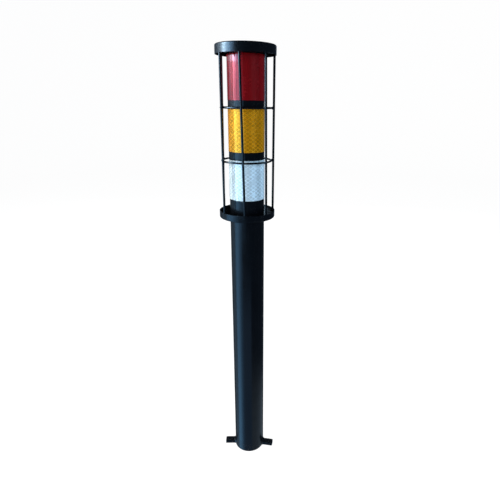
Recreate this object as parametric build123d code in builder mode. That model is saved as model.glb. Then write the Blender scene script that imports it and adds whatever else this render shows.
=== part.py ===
"""Delineator post: a welded steel post with three reflective bands inside a wire guard.

Millimetres, +Z up. The origin is the centre of the tube's lower end, on the ground.
The front of the post faces -Y.
"""
from build123d import *
from math import cos, radians, sin
import os

# --- driving dimensions ---------------------------------------------------------------
POST_HEIGHT = 1000.0        # ground to the top of the cap
TUBE_OD = 76.0              # 76 mm steel tube
TUBE_WALL = 2.0

CAP_OD = 123.0              # the cap and the collar are pressings of one diameter
SHEET = 1.2                 # sheet thickness of both pressings
PRESS_RADIUS = 3.0          # outside radius of their pressed corner
CAP_DEPTH = 18.0
COLLAR_DEPTH = 15.0
COLLAR_BASE = 652.0         # underside of the collar

ROD_DIAMETER = 5.0
ROD_TURNS = [               # degrees from the front, positive to the right: at the cap, at the
    (-12.5, -5.0),          # collar. The rods were set by eye, so they aren't evenly spaced.
    (41.5, 45.0),
    (92.0, 94.0),
    (144.0, 148.0),
    (192.0, 196.0),
    (240.5, 246.0),
    (300.0, 301.5),
]
ROD_END_GAP = 3.0           # from a rod's end to the floor of each pressing
ROD_SKIRT_GAP = 0.25        # from a rod's end to the skirt it is welded to
RING_WIRE = 4.0
RING_GAP = 0.3              # gap between a ring and the rods, bridged by the tack welds
UPPER_RING_HEIGHT = 883.0
LOWER_RING_HEIGHT = 776.0

BAND_HEIGHT = 85.0          # width of the reflective sheeting
BAND_GAP = 16.5             # bare tube between two bands
SHEETING = 0.5
SEAM_GAP = 0.6
SEAM_TURN = -41.0           # degrees from the front to the butt seam of each band

LUG_REACH = 65.0            # post axis to a lug's free end
LUG_WIDTH = 16.0
LUG_HEIGHT = 8.0
LUG_EDGE = 2.0              # rounding of a lug's free end
RIGHT_LUG_TURN = -13.0      # degrees from +X
LEFT_LUG_TURN = 178.0       # degrees from +X

LUG_WELD = 5.0              # radius of the concave weld round each lug's root
EDGE_TOLERANCE = 0.1        # how near to a plane an edge counts as lying in it
TUBE_WELD = 4.0             # leg of the ring welds on the tube
TUBE_WELD_CROWN = 0.5       # how far their faces stand out
ROD_WELD_REACH = 4.2        # radius of the weld round a rod's end
ROD_WELD_LENGTH = 8.0
ROD_WELD_COVER = 0.8        # how far it stands over the end
ROD_WELD_ROUNDING = 1.2
RING_WELD_REACH = 3.2       # radius of the tack weld where a ring crosses a rod

# --- derived dimensions ---------------------------------------------------------------
TUBE_RADIUS = TUBE_OD / 2
CAP_RADIUS = CAP_OD / 2
SKIRT_INNER = CAP_RADIUS - SHEET
CAP_BASE = POST_HEIGHT - CAP_DEPTH
CAP_CEILING = POST_HEIGHT - SHEET
COLLAR_FLOOR = COLLAR_BASE + SHEET
ROD_RADIUS = ROD_DIAMETER / 2
ROD_CIRCLE = SKIRT_INNER - ROD_SKIRT_GAP - ROD_RADIUS
ROD_TOP = CAP_CEILING - ROD_END_GAP
ROD_FOOT = COLLAR_FLOOR + ROD_END_GAP
RED_BASE = CAP_BASE - BAND_HEIGHT
YELLOW_BASE = RED_BASE - BAND_GAP - BAND_HEIGHT
WHITE_BASE = YELLOW_BASE - BAND_GAP - BAND_HEIGHT
RING_HEIGHTS = {"upper": UPPER_RING_HEIGHT, "lower": LOWER_RING_HEIGHT}

os.makedirs("parts", exist_ok=True)


def save(part, name):
    """Label one finished piece and write it to its own STEP file."""
    part.label = name
    export_step(part, f"parts/{name}.step")


def rod_end(turn, height):
    """The middle of a rod's end, at a turn from the front in degrees."""
    angle = radians(turn)
    return Vector(ROD_CIRCLE * sin(angle), -ROD_CIRCLE * cos(angle), height)


def rod_point(turns, height):
    """The middle of a rod at any height, from its turns. The rods are straight."""
    top_turn, foot_turn = turns
    foot = rod_end(foot_turn, ROD_FOOT)
    top = rod_end(top_turn, ROD_TOP)
    return foot + (top - foot) * ((height - ROD_FOOT) / (ROD_TOP - ROD_FOOT))


def distance_from_axis(point):
    return Vector(point.X, point.Y).length


def ring_circle(height):
    """Radius of a ring that lies just inside every rod at one height."""
    nearest = min(distance_from_axis(rod_point(turns, height)) for turns in ROD_TURNS)
    return nearest - ROD_RADIUS - RING_GAP - RING_WIRE / 2


def make_post_tube():
    """The tube runs from the ground to the underside of the cap, open at both ends."""
    with BuildPart() as post_tube:
        with BuildSketch():
            Circle(TUBE_RADIUS)
            Circle(TUBE_RADIUS - TUBE_WALL, mode=Mode.SUBTRACT)
        extrude(amount=CAP_CEILING)
    return post_tube.part


def make_pressing(floor_height, rim_height, inner_radius):
    """A round dish pressed from sheet, turned from its section.

    The floor's outside is at floor_height. The rim is above it, or below it in a cap.
    """
    up = 1 if rim_height > floor_height else -1
    inside = floor_height + up * SHEET
    with BuildPart() as pressing:
        with BuildSketch(Plane.XZ) as section:
            with BuildLine():
                Polyline(
                    (inner_radius, floor_height),
                    (CAP_RADIUS, floor_height),
                    (CAP_RADIUS, rim_height),
                    (SKIRT_INNER, rim_height),
                    (SKIRT_INNER, inside),
                    (inner_radius, inside),
                    close=True,
                )
            make_face()
            for corner, radius in (
                ((CAP_RADIUS, floor_height), PRESS_RADIUS),
                ((SKIRT_INNER, inside), PRESS_RADIUS - SHEET),
            ):
                fillet(section.vertices().sort_by_distance(corner)[0], radius)
        revolve(axis=Axis.Z)
    return pressing.part


def make_guard_rod(turns):
    """One straight rod of the guard, from the collar to the cap."""
    foot = rod_point(turns, ROD_FOOT)
    top = rod_point(turns, ROD_TOP)
    with BuildPart() as guard_rod:
        with BuildSketch(Plane(origin=foot, z_dir=top - foot)):
            Circle(ROD_RADIUS)
        extrude(amount=(top - foot).length)
    return guard_rod.part


def make_guard_ring(height):
    """A wire hoop that lies inside the rods."""
    with BuildPart() as guard_ring:
        with BuildSketch(Plane.XZ):
            with Locations((ring_circle(height), height)):
                Circle(RING_WIRE / 2)
        revolve(axis=Axis.Z)
    return guard_ring.part


def make_band(base):
    """A band of reflective sheeting wrapped round the tube, with a butt seam."""
    with BuildPart() as band:
        with BuildSketch(Plane.XY.offset(base)):
            Circle(TUBE_RADIUS + SHEETING)
            Circle(TUBE_RADIUS, mode=Mode.SUBTRACT)
            with PolarLocations(TUBE_RADIUS, 1, start_angle=SEAM_TURN - 90):
                Rectangle(4 * SHEETING, SEAM_GAP, mode=Mode.SUBTRACT)
        extrude(amount=BAND_HEIGHT)
    return band.part


def lug_plane(turn):
    """The ground plane with its X axis along a lug."""
    return Plane.XY.rotated((0, 0, turn))


def make_anchor_lug(turn):
    """A short flat bar on the ground line, its root shaped to the tube."""
    with BuildPart() as anchor_lug:
        with BuildSketch(lug_plane(turn)):
            Rectangle(LUG_REACH, LUG_WIDTH, align=(Align.MIN, Align.CENTER))
        extrude(amount=LUG_HEIGHT)
        free_end = anchor_lug.faces().sort_by(Axis((0, 0, 0), lug_plane(turn).x_dir))[-1]
        end_edges = free_end.edges().filter_by_position(Axis.Z, EDGE_TOLERANCE, LUG_HEIGHT)
        fillet(end_edges, LUG_EDGE)
        with BuildSketch():
            Circle(TUBE_RADIUS)
        extrude(amount=LUG_HEIGHT, mode=Mode.SUBTRACT)
    return anchor_lug.part


def make_lug_weld(turn):
    """The concave weld up the sides and over the top of a lug's root.

    A stub of the tube and a plain bar are joined and their corner is filleted.
    Taking the tube and the lug away leaves the weld. The stub's seam faces away from the bar.
    """
    stub_height = LUG_HEIGHT + 4 * LUG_WELD
    with BuildPart() as lug_weld:
        with BuildSketch(lug_plane(turn + 180)):
            Circle(TUBE_RADIUS)
        extrude(amount=stub_height)
        with BuildSketch(lug_plane(turn)):
            Rectangle(TUBE_RADIUS + 3 * LUG_WELD, LUG_WIDTH, align=(Align.MIN, Align.CENTER))
        extrude(amount=LUG_HEIGHT)
        root = [
            edge
            for edge in lug_weld.edges()
            if abs(distance_from_axis(edge.center()) - TUBE_RADIUS) < TUBE_WALL
            and EDGE_TOLERANCE < edge.center().Z < stub_height - EDGE_TOLERANCE
            and edge.length < 2 * LUG_WIDTH
        ]
        fillet(root, LUG_WELD)
        with BuildSketch():
            Circle(TUBE_RADIUS)
        extrude(amount=stub_height, mode=Mode.SUBTRACT)
        with BuildSketch(lug_plane(turn)):
            Rectangle(LUG_REACH, LUG_WIDTH, align=(Align.MIN, Align.CENTER))
        extrude(amount=LUG_HEIGHT, mode=Mode.SUBTRACT)
    return lug_weld.part


def make_tube_weld(height):
    """A ring of weld on the outside of the tube, under a flat sheet at this height."""
    on_tube = (TUBE_RADIUS, height - TUBE_WELD)
    on_sheet = (TUBE_RADIUS + TUBE_WELD, height)
    with BuildPart() as tube_weld:
        with BuildSketch(Plane.XZ):
            with BuildLine():
                Polyline(on_tube, (TUBE_RADIUS, height), on_sheet)
                SagittaArc(on_sheet, on_tube, -TUBE_WELD_CROWN)
            make_face()
        revolve(axis=Axis.Z)
    return tube_weld.part


def make_rod_end_welds(rods, end_height, direction):
    """One bead for each rod, between the rod's end and the skirt of a pressing.

    direction is 1 where the beads rise from the rods' ends, and -1 where they hang down.
    """
    start = end_height - direction * ROD_WELD_COVER
    lowest = min(start, start + direction * ROD_WELD_LENGTH)
    with BuildPart() as rod_end_welds:
        for turns in ROD_TURNS:
            with BuildSketch(Plane(rod_point(turns, start))):
                Circle(ROD_WELD_REACH)
            extrude(amount=direction * ROD_WELD_LENGTH)
        fillet(rod_end_welds.edges().filter_by(GeomType.CIRCLE), ROD_WELD_ROUNDING)
        with BuildSketch(Plane.XY.offset(lowest)):
            Circle(SKIRT_INNER)
        extrude(amount=ROD_WELD_LENGTH, mode=Mode.INTERSECT)
        add(rods, mode=Mode.SUBTRACT)
    return rod_end_welds.part


def make_ring_welds(rods, ring, height):
    """One tack weld for each rod, where the ring crosses it."""
    with BuildPart() as ring_welds:
        for turns in ROD_TURNS:
            rod = rod_point(turns, height)
            inward = Vector(-rod.X, -rod.Y).normalized()
            crossing = rod + inward * (ROD_RADIUS + RING_GAP / 2)
            with Locations(Plane(origin=crossing, z_dir=inward)):
                Sphere(RING_WELD_REACH)
        add(rods, mode=Mode.SUBTRACT)
        add(ring, mode=Mode.SUBTRACT)
    return ring_welds.part


save(make_post_tube(), "post_tube")
save(make_pressing(POST_HEIGHT, CAP_BASE, 0), "top_cap")
save(make_pressing(COLLAR_BASE, COLLAR_BASE + COLLAR_DEPTH, TUBE_RADIUS), "lower_collar")

save(make_band(RED_BASE), "red_reflective_band")
save(make_band(YELLOW_BASE), "yellow_reflective_band")
save(make_band(WHITE_BASE), "white_reflective_band")

guard_rods = [make_guard_rod(turns) for turns in ROD_TURNS]
for number, guard_rod in enumerate(guard_rods, start=1):
    save(guard_rod, f"guard_rod_{number}")

for place, height in RING_HEIGHTS.items():
    guard_ring = make_guard_ring(height)
    save(guard_ring, f"{place}_guard_ring")
    save(make_ring_welds(guard_rods, guard_ring, height), f"{place}_ring_tack_welds")

save(make_rod_end_welds(guard_rods, ROD_TOP, -1), "cap_rod_welds")
save(make_rod_end_welds(guard_rods, ROD_FOOT, 1), "collar_rod_welds")
save(make_tube_weld(CAP_CEILING), "cap_to_tube_weld")
save(make_tube_weld(COLLAR_BASE), "collar_to_tube_weld")

for side, turn in (("left", LEFT_LUG_TURN), ("right", RIGHT_LUG_TURN)):
    save(make_anchor_lug(turn), f"{side}_anchor_lug")
    save(make_lug_weld(turn), f"{side}_lug_weld")
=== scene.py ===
import math

import bmesh
import bpy
from mathutils import Matrix, Vector, noise


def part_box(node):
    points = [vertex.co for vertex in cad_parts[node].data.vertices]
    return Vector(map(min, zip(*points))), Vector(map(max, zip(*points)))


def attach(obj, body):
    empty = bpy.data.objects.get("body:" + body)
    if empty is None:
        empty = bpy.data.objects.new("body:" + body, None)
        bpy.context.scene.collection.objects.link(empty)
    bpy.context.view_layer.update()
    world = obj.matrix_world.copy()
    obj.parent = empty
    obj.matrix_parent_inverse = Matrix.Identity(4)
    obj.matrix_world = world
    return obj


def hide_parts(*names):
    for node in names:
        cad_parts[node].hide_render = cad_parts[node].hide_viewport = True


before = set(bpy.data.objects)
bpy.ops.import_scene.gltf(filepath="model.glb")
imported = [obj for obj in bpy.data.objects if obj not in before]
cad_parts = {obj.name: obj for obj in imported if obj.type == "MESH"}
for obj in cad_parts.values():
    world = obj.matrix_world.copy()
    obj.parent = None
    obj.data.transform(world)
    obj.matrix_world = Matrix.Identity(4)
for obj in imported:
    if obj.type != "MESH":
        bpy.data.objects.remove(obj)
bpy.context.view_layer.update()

MM = 0.001

# --- camera and light, metres and degrees -----------------------------------------------
CAMERA_DISTANCE = 0.8893      # in front of the post's axis
CAMERA_HEIGHT = 0.8939
CAMERA_PITCH = 20.015         # looking down
CAMERA_YAW = 4.117            # turned to the right
CAMERA_ROLL = 0.844
CAMERA_LENS = 29.15           # this and the sensor in millimetres
SENSOR_WIDTH = 36.0
CAMERA_SHIFT = -0.05          # a part of the sensor's width
LIGHT_AIM = 0.6               # the height that the lights face

# --- the post, read from the frame ------------------------------------------------------
TUBE_LOW, TUBE_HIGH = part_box("post_tube")
TUBE_RADIUS = (TUBE_HIGH.x - TUBE_LOW.x) / 2
SHEET_THICKNESS = 0.35 * MM
SEAM_TURN = math.radians(-41.0)   # from the front, positive to the right
SEAM_OVERLAP = 8.0 * MM
CELL_WIDTH = 11.5 * MM        # of the sheeting's net, across and up
CELL_HEIGHT = 7.9 * MM
SHARP_EDGE = math.radians(40)     # a sheet's edges that turn more than this look sharp
BLOB_FILL = 0.46              # a weld blob's half height, as a part of its solid's height
BLOB_HALF_WIDTH = 2.9 * MM
BLOB_HALF_DEPTH = 2.3 * MM
SAME_POINT = 0.001 * MM       # corners nearer than this are joined

# --- places of a colour mix node's inputs and output -------------------------------------
MIX_FACTOR = 0
MIX_FIRST = 6
MIX_SECOND = 7
MIX_RESULT = 2


def from_front(turn):
    """Unit vector at a turn from the front (-Y), positive towards +X."""
    return Vector((math.sin(turn), -math.cos(turn), 0.0))


def rise(height):
    """A vector straight up."""
    return Vector((0, 0, height))


# --- meshes -----------------------------------------------------------------------------
def new_object(name, mesh):
    """Put a finished bmesh in the scene as an object, shaded smooth."""
    mesh_data = bpy.data.meshes.new(name)
    mesh.to_mesh(mesh_data)
    mesh.free()
    piece = bpy.data.objects.new(name, mesh_data)
    bpy.context.scene.collection.objects.link(piece)
    for polygon in mesh_data.polygons:
        polygon.use_smooth = True
    return piece


def swept_object(name, rings, closed):
    """A skin over rings of points. An open sweep gets a face at each end."""
    mesh = bmesh.new()
    rows = [[mesh.verts.new(point) for point in ring] for ring in rings]
    count = len(rows[0])
    pairs = list(zip(rows, rows[1:]))
    if closed:
        pairs.append((rows[-1], rows[0]))
    for near, far in pairs:
        for i in range(count):
            j = (i + 1) % count
            mesh.faces.new((near[i], near[j], far[j], far[i]))
    if not closed:
        mesh.faces.new(rows[0][::-1])
        mesh.faces.new(rows[-1])
    bmesh.ops.recalc_face_normals(mesh, faces=mesh.faces)
    return new_object(name, mesh)


def make_sheeting(name, node, seed):
    """A wrapped strip of sheeting whose outer end laps over its inner end."""
    low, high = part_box(node)
    steps = 240
    rows = 10
    gap = 0.02 * MM               # between the tube and the sheet
    edge_waver = 0.12 * MM
    dimple_depth = 0.03 * MM
    edge = SHEET_THICKNESS / 3
    overlap_turn = SEAM_OVERLAP / TUBE_RADIUS
    total_turn = 2 * math.pi + overlap_turn
    lift_turn = overlap_turn / 2
    rings = []
    for step in range(steps + 1):
        travelled = total_turn * step / steps
        into_lap = (travelled - (2 * math.pi - lift_turn)) / lift_turn
        lap = min(max(into_lap, 0.0), 1.0)
        lap = lap * lap * (3 - 2 * lap)
        inner = TUBE_RADIUS + gap + lap * SHEET_THICKNESS
        outward = from_front(SEAM_TURN + travelled)
        waver = edge_waver * noise.noise(Vector((4 * travelled, seed, 0.0)))
        bottom = low.z + waver
        top = high.z + waver
        outer = inner + SHEET_THICKNESS
        ring = [outward * (outer - edge) + rise(bottom)]
        for row in range(rows + 1):
            height = bottom + edge + (top - bottom - 2 * edge) * row / rows
            dimple = dimple_depth * noise.noise(outward * 3 + rise(height * 40 + seed))
            ring.append(outward * (outer + dimple) + rise(height))
        ring.append(outward * (outer - edge) + rise(top))
        ring.append(outward * inner + rise(top))
        ring.append(outward * inner + rise(bottom))
        rings.append(ring)
    piece = swept_object(name, rings, closed=False)
    piece.data.set_sharp_from_angle(angle=SHARP_EDGE)
    return piece


def make_ring_weld(name, node, seed):
    """A rippled bead round the tube in the corner under a sheet."""
    low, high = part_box(node)
    leg = high.z - low.z
    bead_radius = 0.62 * leg
    inset = 0.28 * leg
    steps = 960
    sides = 16
    ripples = 110
    ripple_height = 0.07          # this and the wander are parts of the radius
    ripple_rise = 6               # one part in this many of a ripple is its steep side
    wander_size = 0.08
    rings = []
    for step in range(steps):
        turn = 2 * math.pi * step / steps
        outward = from_front(turn)
        phase = (ripples * turn / (2 * math.pi)) % 1.0
        crest = math.sin(math.pi * min(1.0, ripple_rise * phase))
        ripple = 1.0 + ripple_height * (1 - phase) * crest
        wander = 1.0 + wander_size * noise.noise(outward * 4 + rise(seed))
        radius = bead_radius * ripple * wander
        centre = outward * (TUBE_RADIUS + inset) + rise(high.z - inset)
        ring = []
        for side in range(sides):
            angle = 2 * math.pi * side / sides
            across = outward * math.cos(angle) + rise(math.sin(angle))
            ring.append(centre + across * radius)
        rings.append(ring)
    for ring in rings:
        for point in ring:
            point.z = min(point.z, high.z)
    return swept_object(name, rings, closed=True)


def node_islands(node):
    """Centre and size of each separate solid of a CAD node."""
    mesh = bmesh.new()
    mesh.from_mesh(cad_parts[node].data)
    bmesh.ops.remove_doubles(mesh, verts=mesh.verts, dist=SAME_POINT)
    left = set(mesh.verts)
    islands = []
    while left:
        front = [left.pop()]
        found = list(front)
        while front:
            vert = front.pop()
            for link in vert.link_edges:
                other = link.other_vert(vert)
                if other in left:
                    left.remove(other)
                    front.append(other)
                    found.append(other)
        xs, ys, zs = zip(*(vert.co for vert in found))
        low = Vector((min(xs), min(ys), min(zs)))
        high = Vector((max(xs), max(ys), max(zs)))
        islands.append(((low + high) / 2, high - low))
    mesh.free()
    islands.sort(key=lambda island: math.atan2(island[0].y, island[0].x))
    return islands


def make_weld_blobs(name, node, seed):
    """Lumpy welds, one blob in the place of each solid of the node."""
    lump_size = 0.13              # both are parts of the blob's radius
    fine_size = 0.035
    combined = bmesh.new()
    for number, (centre, size) in enumerate(node_islands(node)):
        outward = Vector((centre.x, centre.y, 0)).normalized()
        turn = Matrix.Rotation(math.atan2(outward.y, outward.x), 4, "Z")
        tall = size.z * BLOB_FILL
        wide = min(tall, BLOB_HALF_WIDTH)
        deep = min(tall, BLOB_HALF_DEPTH)
        blob = bmesh.ops.create_icosphere(combined, subdivisions=4, radius=1.0)
        for vert in blob["verts"]:
            direction = vert.co.normalized()
            lump = 1 + lump_size * noise.noise(direction * 1.6 + Vector((seed, 7 * number, 0)))
            fine = 1 + fine_size * noise.noise(direction * 6 + Vector((0, seed, number)))
            local = direction * (lump * fine)
            local = Vector((local.x * deep, local.y * wide, local.z * tall))
            vert.co = turn @ local + centre
    return new_object(name, combined)


# --- materials --------------------------------------------------------------------------
class Shader:
    """A short way to build one node material."""

    def __init__(self, name):
        self.material = bpy.data.materials.new(name)
        self.material.use_nodes = True
        self.tree = self.material.node_tree
        self.tree.nodes.clear()
        output = self.tree.nodes.new("ShaderNodeOutputMaterial")
        self.surface = self.tree.nodes.new("ShaderNodeBsdfPrincipled")
        self.tree.links.new(self.surface.outputs[0], output.inputs["Surface"])
        self.place = self.tree.nodes.new("ShaderNodeTexCoord").outputs["Object"]

    def put(self, value, socket):
        """Link an output to a socket, or set the socket to a plain value."""
        if isinstance(value, bpy.types.NodeSocket):
            self.tree.links.new(value, socket)
        else:
            socket.default_value = value

    def math(self, operation, *values):
        """One step of arithmetic."""
        node = self.tree.nodes.new("ShaderNodeMath")
        node.operation = operation
        for index, value in enumerate(values):
            self.put(value, node.inputs[index])
        return node.outputs[0]

    def noise(self, scale, detail, vector=None):
        """Noise of so many spots to the metre, or to the unit of the vector given."""
        node = self.tree.nodes.new("ShaderNodeTexNoise")
        node.inputs["Scale"].default_value = scale
        node.inputs["Detail"].default_value = detail
        self.put(vector or self.place, node.inputs["Vector"])
        return node.outputs["Fac"]

    def remap(self, value, low, high, to_low=0.0, to_high=1.0):
        """Stretch low..high to another range, and stop at its ends."""
        node = self.tree.nodes.new("ShaderNodeMapRange")
        node.clamp = True
        limits = (low, high, to_low, to_high)
        for key, limit in zip(("From Min", "From Max", "To Min", "To Max"), limits):
            node.inputs[key].default_value = limit
        self.put(value, node.inputs["Value"])
        return node.outputs[0]

    def mix(self, factor, first, second):
        """The first colour at factor 0, the second at factor 1."""
        node = self.tree.nodes.new("ShaderNodeMix")
        node.data_type = "RGBA"
        self.put(factor, node.inputs[MIX_FACTOR])
        self.put(first, node.inputs[MIX_FIRST])
        self.put(second, node.inputs[MIX_SECOND])
        return node.outputs[MIX_RESULT]

    def split(self):
        """The x, y and z of a place on the object, in metres."""
        node = self.tree.nodes.new("ShaderNodeSeparateXYZ")
        self.put(self.place, node.inputs[0])
        return node.outputs

    def join(self, x, y, z):
        """A vector made of three values."""
        node = self.tree.nodes.new("ShaderNodeCombineXYZ")
        for index, value in enumerate((x, y, z)):
            self.put(value, node.inputs[index])
        return node.outputs[0]

    def bump(self, *layers):
        """Stack bump layers, each (height, distance in metres, strength)."""
        normal = None
        for height, distance, strength in layers:
            node = self.tree.nodes.new("ShaderNodeBump")
            node.inputs["Distance"].default_value = distance
            node.inputs["Strength"].default_value = strength
            self.put(height, node.inputs["Height"])
            if normal:
                self.put(normal, node.inputs["Normal"])
            normal = node.outputs[0]
        self.put(normal, self.surface.inputs["Normal"])

    def set(self, **values):
        """Set sockets of the surface by name, with _ for a space."""
        for key, value in values.items():
            self.put(value, self.surface.inputs[key.replace("_", " ")])


def rgba(red, green, blue):
    """An opaque colour."""
    return (red, green, blue, 1.0)


def make_black_paint():
    """Gloss black paint with orange peel, dust, faint scuffs and a worn foot."""
    deep_black = rgba(0.0012, 0.0017, 0.0027)
    thin_black = rgba(0.0024, 0.0033, 0.0050)
    dust_colour = rgba(0.07, 0.08, 0.09)
    scuff_colour = rgba(0.06, 0.07, 0.08)
    primer_colour = rgba(0.045, 0.045, 0.045)
    worn_from, worn_to = 2 * MM, 45 * MM    # heights: fully worn, and no longer worn
    shader = Shader("gloss_black_paint")
    x, y, height = shader.split()
    broad = shader.noise(9.0, 3.0)
    dust = shader.remap(shader.noise(900.0, 4.0), 0.62, 0.80)
    dust_patches = shader.remap(shader.noise(22.0, 3.0), 0.45, 0.7, 0.1, 0.8)
    dust = shader.math("MULTIPLY", dust, dust_patches)
    stretched = shader.join(
        shader.math("MULTIPLY", x, 260.0),
        shader.math("MULTIPLY", y, 260.0),
        shader.math("MULTIPLY", height, 5.0),
    )
    scuff = shader.remap(shader.noise(1.0, 5.0, stretched), 0.66, 0.78)
    foot = shader.remap(height, worn_from, worn_to, 1.0, 0.0)
    chipped = shader.remap(shader.noise(260.0, 6.0), 0.54, 0.60)
    worn = shader.math("MULTIPLY", shader.math("MULTIPLY", foot, foot), chipped)
    paint = shader.mix(shader.remap(broad, 0.3, 0.7), deep_black, thin_black)
    paint = shader.mix(shader.math("MULTIPLY", dust, 0.25), paint, dust_colour)
    paint = shader.mix(shader.math("MULTIPLY", scuff, 0.12), paint, scuff_colour)
    paint = shader.mix(shader.math("MULTIPLY", worn, 0.4), paint, primer_colour)
    rough = shader.remap(shader.noise(30.0, 4.0), 0.25, 0.75, 0.17, 0.27)
    dull = shader.math("MULTIPLY", shader.math("MAXIMUM", dust, worn), 0.35)
    rough = shader.math("ADD", rough, dull)
    shader.set(Base_Color=paint, Roughness=rough, IOR=1.5, Metallic=0.0)
    shader.bump(
        (shader.noise(16.0, 2.0), 1.2 * MM, 0.10),
        (shader.noise(420.0, 2.0), 0.25 * MM, 0.12),
        (chipped, 0.2 * MM, 0.15),
    )
    return shader.material


def make_sheeting_material(name, colour, pale, net, streaking, metallic, coat):
    """Prismatic sheeting: a net of sealed cells under a clear gloss film.

    The cells stand in staggered columns. Each has its own tint and a darker middle.
    net and streaking say how strongly the cells and the upright streaks show.
    """
    dark_part = 0.62
    line_from, line_to = 0.36, 0.47         # from a cell's middle (0) to its edge (0.5)
    middle_from, middle_to = 0.10, 0.34
    grime_colour = rgba(0.12, 0.11, 0.10)
    shader = Shader(name)
    x, y, height = shader.split()
    around = shader.math("MULTIPLY", shader.math("ARCTAN2", y, x), TUBE_RADIUS / CELL_WIDTH)
    up = shader.math("DIVIDE", height, CELL_HEIGHT)
    lines = []
    cells = []
    for sign in ("ADD", "SUBTRACT"):
        along = shader.math(sign, around, up)
        cells.append(shader.math("FLOOR", along))
        place_in_cell = shader.math("SUBTRACT", shader.math("FRACT", along), 0.5)
        lines.append(shader.math("ABSOLUTE", place_in_cell))
    nearest_line = shader.math("MAXIMUM", *lines)
    line = shader.remap(nearest_line, line_from, line_to)
    middle = shader.remap(nearest_line, middle_from, middle_to, 1.0, 0.0)
    cell_noise = shader.tree.nodes.new("ShaderNodeTexWhiteNoise")
    shader.put(shader.join(cells[0], cells[1], 0.0), cell_noise.inputs["Vector"])
    around_turns = shader.join(
        shader.math("MULTIPLY", around, 3.0), shader.math("MULTIPLY", height, 9.0), 0.0
    )
    streaks = shader.remap(shader.noise(1.0, 3.0, around_turns), 0.35, 0.7)
    dark = rgba(*(dark_part * channel for channel in colour[:3]))
    tint = shader.math("MULTIPLY", cell_noise.outputs["Value"], 0.5 * net)
    base = shader.mix(tint, colour, pale)
    base = shader.mix(shader.math("MULTIPLY", middle, net), base, dark)
    base = shader.mix(shader.math("MULTIPLY", line, net), base, pale)
    base = shader.mix(shader.math("MULTIPLY", streaks, streaking), base, dark)
    grime = shader.remap(shader.noise(120.0, 6.0), 0.62, 0.8, 0.0, 0.12)
    base = shader.mix(grime, base, grime_colour)
    rough = shader.remap(shader.noise(45.0, 3.0), 0.3, 0.7, 0.20, 0.30)
    rough = shader.math("ADD", rough, shader.math("MULTIPLY", line, 0.2 * net))
    shader.set(Base_Color=base, Roughness=rough, Metallic=metallic, IOR=1.5)
    shader.set(Coat_Weight=coat, Coat_Roughness=0.05, Coat_IOR=1.5)
    shader.bump(
        (shader.noise(28.0, 2.0), 0.8 * MM, 0.06),
        (line, 0.06 * MM, 0.6 * net),
        (shader.noise(1500.0, 1.0), 0.03 * MM, 0.15),
    )
    return shader.material


def dress(piece, material):
    """Put one material in every slot of a piece."""
    if not piece.data.materials:
        piece.data.materials.append(material)
    for index in range(len(piece.data.materials)):
        piece.data.materials[index] = material


# --- camera, floor and light ------------------------------------------------------------
def make_camera():
    """The camera, from the place, turns and lens at the top of the script."""
    pitch = math.radians(CAMERA_PITCH)
    yaw = math.radians(CAMERA_YAW)
    roll = math.radians(CAMERA_ROLL)
    ahead = Vector((math.sin(yaw), math.cos(yaw), 0.0))
    forward = ahead * math.cos(pitch) - rise(math.sin(pitch))
    level = Vector((math.cos(yaw), -math.sin(yaw), 0.0))
    upright = level.cross(forward)
    right = level * math.cos(roll) + upright * math.sin(roll)
    up = upright * math.cos(roll) - level * math.sin(roll)
    turned = Matrix((right, up, -forward)).transposed().to_4x4()
    data = bpy.data.cameras.new("camera")
    data.sensor_width = SENSOR_WIDTH
    data.lens = CAMERA_LENS
    data.shift_x = CAMERA_SHIFT
    camera = bpy.data.objects.new("camera", data)
    camera.matrix_world = Matrix.Translation((0, -CAMERA_DISTANCE, CAMERA_HEIGHT)) @ turned
    bpy.context.scene.collection.objects.link(camera)
    bpy.context.scene.camera = camera


def make_backdrop():
    """A pale floor that sweeps up into a round white wall. It glows a little under white."""
    floor_radius = 5.0
    sweep = 2.0
    sweep_steps = 12
    wall_top = 7.0
    sides = 64
    profile = [(0.001, 0.0), (0.3, 0.0), (1.0, 0.0), (floor_radius, 0.0)]
    for step in range(1, sweep_steps + 1):
        angle = math.pi / 2 * step / sweep_steps
        profile.append((floor_radius + sweep * math.sin(angle), sweep * (1 - math.cos(angle))))
    profile.append((floor_radius + sweep, wall_top))
    mesh = bmesh.new()
    outwards = [from_front(2 * math.pi * i / sides) for i in range(sides)]
    rows = []
    for radius, height in profile:
        rows.append([mesh.verts.new(outward * radius + rise(height)) for outward in outwards])
    for near, far in zip(rows, rows[1:]):
        for i in range(sides):
            j = (i + 1) % sides
            mesh.faces.new((near[i], near[j], far[j], far[i]))
    mesh.faces.new(rows[0][::-1])
    backdrop = new_object("backdrop", mesh)
    shader = Shader("pale_backdrop")
    shader.set(Base_Color=rgba(0.12, 0.12, 0.12), Roughness=0.9, Specular_IOR_Level=0.0)
    shader.set(Emission_Color=rgba(1.0, 1.0, 1.0), Emission_Strength=0.97)
    dress(backdrop, shader.material)
    backdrop.visible_glossy = False
    backdrop.visible_diffuse = False


def make_light(name, turn, distance, height, size, power, colour):
    """A soft area light that faces the post's middle. It makes no reflection."""
    data = bpy.data.lights.new(name, "AREA")
    data.shape = "RECTANGLE"
    data.size, data.size_y = size
    data.energy = power
    data.color = colour
    light = bpy.data.objects.new(name, data)
    place = from_front(math.radians(turn)) * distance + rise(height)
    aim = rise(LIGHT_AIM) - place
    light.matrix_world = Matrix.Translation(place) @ aim.to_track_quat("-Z", "Y").to_matrix().to_4x4()
    bpy.context.scene.collection.objects.link(light)
    light.visible_glossy = False
    light.visible_camera = False


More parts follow.
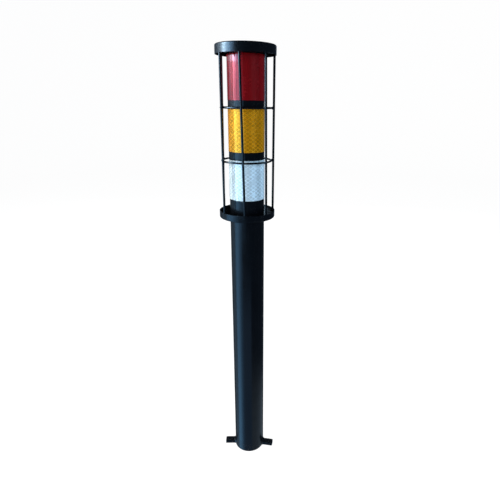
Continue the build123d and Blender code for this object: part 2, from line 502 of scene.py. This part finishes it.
def make_card(name, turns, distance, heights, colour, strength):
    """An upright curved card round part of the post, seen only in reflections."""
    steps = 24
    mesh = bmesh.new()
    rows = []
    for height in heights:
        row = []
        for step in range(steps + 1):
            turn = math.radians(turns[0] + (turns[1] - turns[0]) * step / steps)
            row.append(mesh.verts.new(from_front(turn) * distance + rise(height)))
        rows.append(row)
    for i in range(steps):
        mesh.faces.new((rows[0][i], rows[0][i + 1], rows[1][i + 1], rows[1][i]))
    card = new_object(name, mesh)
    shader = Shader(name)
    shader.set(Base_Color=rgba(0.0, 0.0, 0.0), Specular_IOR_Level=0.0)
    shader.set(Emission_Color=rgba(*colour), Emission_Strength=strength)
    dress(card, shader.material)
    card.visible_camera = False
    card.visible_diffuse = False
    card.visible_shadow = False


def make_world():
    """A faint blue glow from everywhere."""
    world = bpy.data.worlds.new("world")
    world.use_nodes = True
    background = world.node_tree.nodes["Background"]
    background.inputs["Color"].default_value = rgba(0.5, 0.7, 1.0)
    background.inputs["Strength"].default_value = 0.045
    bpy.context.scene.world = world


def stand_in(piece, node, material):
    """Finish a piece that takes the place of a CAD node."""
    dress(piece, material)
    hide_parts(node)
    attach(piece, "root")


make_camera()
make_world()
make_backdrop()
bpy.context.scene.view_settings.view_transform = "Standard"

# Name, turn from the front, distance, height, size, power and colour.
LIGHTS = [
    ("key_left", -80, 2.2, 1.1, (1.4, 2.0), 112.0, (1.0, 0.92, 0.83)),
    ("fill_right", 55, 2.4, 1.0, (2.0, 2.0), 78.0, (0.71, 0.855, 1.0)),
    ("fill_back", 170, 2.6, 1.2, (2.0, 2.0), 34.0, (0.90, 0.95, 1.0)),
    ("fill_top", 20, 0.8, 3.2, (1.6, 1.6), 16.0, (0.9, 0.95, 1.0)),
]
# The window left of the camera, and what else the gloss shows: name, turns from the front,
# distance, heights, colour and strength. The window is in pieces, one for each of its shades.
CARDS = [
    ("top_window", (-91, -80), 1.78, (1.12, 2.2), (0.55, 0.79, 1.0), 36.0),
    ("top_window_inner", (-80, -70), 1.79, (1.12, 2.2), (0.46, 0.73, 1.0), 20.0),
    ("top_window_soft", (-70, -57), 1.79, (1.12, 2.2), (0.36, 0.66, 1.0), 13.0),
    ("top_window_edge", (-57, -46), 1.79, (1.12, 2.2), (0.27, 0.57, 1.0), 4.5),
    ("top_window_outer", (-101, -91), 1.79, (1.12, 2.2), (0.58, 0.80, 1.0), 9.0),
    ("top_window_far", (-120, -101), 1.79, (1.12, 2.2), (0.60, 0.80, 1.0), 2.6),
    ("top_window_back", (-140, -120), 1.79, (1.12, 2.2), (0.60, 0.80, 1.0), 0.6),
    ("window", (-91, -80), 1.8, (0.885, 1.12), (0.60, 0.80, 1.0), 11.0),
    ("window_inner", (-80, -37), 1.82, (0.885, 1.12), (0.45, 0.70, 1.0), 2.8),
    ("window_outer", (-120, -91), 1.84, (0.885, 1.12), (0.60, 0.75, 1.0), 1.2),
    ("left_high", (-92, -52), 2.0, (0.25, 0.88), (0.28, 0.62, 1.0), 2.8),
    ("left_high_inner", (-52, -14), 2.0, (0.25, 0.88), (0.28, 0.60, 1.0), 2.1),
    ("left_low", (-92, -62), 2.02, (-2.6, 0.25), (0.24, 0.58, 1.0), 2.2),
    ("left_low_inner", (-62, -50), 2.03, (-2.6, 0.25), (0.24, 0.56, 1.0), 1.3),
    ("left_low_edge", (-50, -38), 2.04, (-2.6, 0.25), (0.24, 0.56, 1.0), 0.7),
    ("left_rim", (-128, -92), 2.05, (-2.6, 0.88), (0.45, 0.72, 1.0), 0.45),
    ("front_upper", (-14, 40), 2.06, (-0.5, 0.6), (0.35, 0.62, 1.0), 0.05),
    ("front_lower", (-38, 22), 2.07, (-2.6, -0.5), (0.32, 0.58, 1.0), 0.42),
    ("floor_right", (22, 140), 2.08, (-2.6, -1.4), (0.60, 0.80, 1.0), 0.40),
    ("back_wall", (150, 215), 2.2, (-1.5, 1.6), (0.60, 0.78, 1.0), 0.3),
]
for light in LIGHTS:
    make_light(*light)
for card in CARDS:
    make_card(*card)

# --- the post's pieces ------------------------------------------------------------------
black_paint = make_black_paint()
red = make_sheeting_material(
    "red_film", rgba(0.31, 0.003, 0.006), rgba(0.50, 0.02, 0.02), 0.04, 0.55, 0.5, 0.9
)
yellow = make_sheeting_material(
    "yellow_cells", rgba(0.92, 0.37, 0.003), rgba(0.98, 0.58, 0.03), 0.28, 0.25, 0.6, 0.30
)
white = make_sheeting_material(
    "white_cells", rgba(0.64, 0.85, 0.99), rgba(0.84, 0.95, 1.0), 0.20, 0.15, 0.25, 0.55
)
sheeting = {"red": red, "yellow": yellow, "white": white}

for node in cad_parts.values():
    dress(node, black_paint)

for seed, colour in enumerate(sheeting, start=1):
    band_node = f"{colour}_reflective_band"
    band = make_sheeting(f"{colour}_sheeting_wrap", band_node, seed)
    dress(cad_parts[band_node], sheeting[colour])
    stand_in(band, band_node, sheeting[colour])

for seed, weld_node in enumerate(("cap_to_tube_weld", "collar_to_tube_weld"), start=1):
    bead = make_ring_weld(f"{weld_node}_bead", weld_node, seed)
    stand_in(bead, weld_node, black_paint)

blob_nodes = ("upper_ring_tack_welds", "lower_ring_tack_welds", "cap_rod_welds", "collar_rod_welds")
for seed, weld_node in enumerate(blob_nodes, start=1):
    blobs = make_weld_blobs(f"{weld_node}_blobs", weld_node, seed)
    stand_in(blobs, weld_node, black_paint)
